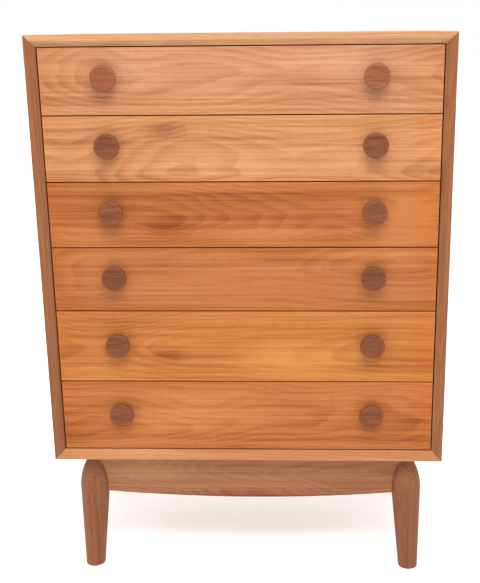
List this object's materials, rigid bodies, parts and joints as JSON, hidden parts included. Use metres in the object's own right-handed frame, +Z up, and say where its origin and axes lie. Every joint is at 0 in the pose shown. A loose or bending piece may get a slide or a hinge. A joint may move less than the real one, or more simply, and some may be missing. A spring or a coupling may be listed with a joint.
{
  "type": "chest of drawers",
  "caption": "Tall teak chest of graduated full-width drawers with round turned knobs, in a mitred case with bevelled edges, carried by bearers on a low frame with turned, tapered legs.",
  "frame": {"origin": "on the floor, midway between the outermost points left to right and front to back", "axes": "+X to the right as one faces the drawers, +Y to the back, +Z up"},
  "size_m": [0.8, 0.467, 1.12],
  "materials": {
    "case_teak": "oiled satin",
    "front_teak": "oiled satin",
    "base_teak": "oiled satin",
    "knob_teak": "oiled satin",
    "beech": "waxed",
    "plywood": "bare",
    "screw_steel": "plain"
  },
  "bodies": {
    "cabinet": {"top_panel": "case_teak", "bottom_panel": "case_teak", "left_side_panel": "case_teak", "right_side_panel": "case_teak", "back_panel": "plywood", "left_runners": "beech", "right_runners": "beech", "wood_screws": "screw_steel", "corner_splines": "plywood", "front_rail": "base_teak", "back_rail": "base_teak", "left_rail": "base_teak", "right_rail": "base_teak", "front_left_leg": "base_teak", "front_right_leg": "base_teak", "back_left_leg": "base_teak", "back_right_leg": "base_teak", "cross_bearers": "base_teak"},
    "drawer_1": {"drawer_1_front": "front_teak", "drawer_1_left_side": "beech", "drawer_1_right_side": "beech", "drawer_1_back": "beech", "drawer_1_bottom": "plywood", "drawer_1_left_knob": "knob_teak", "drawer_1_right_knob": "knob_teak"},
    "drawer_2": {"drawer_2_front": "front_teak", "drawer_2_left_side": "beech", "drawer_2_right_side": "beech", "drawer_2_back": "beech", "drawer_2_bottom": "plywood", "drawer_2_left_knob": "knob_teak", "drawer_2_right_knob": "knob_teak"},
    "drawer_3": {"drawer_3_front": "front_teak", "drawer_3_left_side": "beech", "drawer_3_right_side": "beech", "drawer_3_back": "beech", "drawer_3_bottom": "plywood", "drawer_3_left_knob": "knob_teak", "drawer_3_right_knob": "knob_teak"},
    "drawer_4": {"drawer_4_front": "front_teak", "drawer_4_left_side": "beech", "drawer_4_right_side": "beech", "drawer_4_back": "beech", "drawer_4_bottom": "plywood", "drawer_4_left_knob": "knob_teak", "drawer_4_right_knob": "knob_teak"},
    "drawer_5": {"drawer_5_front": "front_teak", "drawer_5_left_side": "beech", "drawer_5_right_side": "beech", "drawer_5_back": "beech", "drawer_5_bottom": "plywood", "drawer_5_left_knob": "knob_teak", "drawer_5_right_knob": "knob_teak"},
    "drawer_6": {"drawer_6_front": "front_teak", "drawer_6_left_side": "beech", "drawer_6_right_side": "beech", "drawer_6_back": "beech", "drawer_6_bottom": "plywood", "drawer_6_left_knob": "knob_teak", "drawer_6_right_knob": "knob_teak"}
  },
  "joints": [
    {"name": "drawer_1_slide", "type": "slide", "parent": "cabinet", "child": "drawer_1", "axis": [0, -1, 0], "range_m": [0, 0.3]},
    {"name": "drawer_2_slide", "type": "slide", "parent": "cabinet", "child": "drawer_2", "axis": [0, -1, 0], "range_m": [0, 0.3]},
    {"name": "drawer_3_slide", "type": "slide", "parent": "cabinet", "child": "drawer_3", "axis": [0, -1, 0], "range_m": [0, 0.3]},
    {"name": "drawer_4_slide", "type": "slide", "parent": "cabinet", "child": "drawer_4", "axis": [0, -1, 0], "range_m": [0, 0.3]},
    {"name": "drawer_5_slide", "type": "slide", "parent": "cabinet", "child": "drawer_5", "axis": [0, -1, 0], "range_m": [0, 0.3]},
    {"name": "drawer_6_slide", "type": "slide", "parent": "cabinet", "child": "drawer_6", "axis": [0, -1, 0], "range_m": [0, 0.3]}
  ]
}
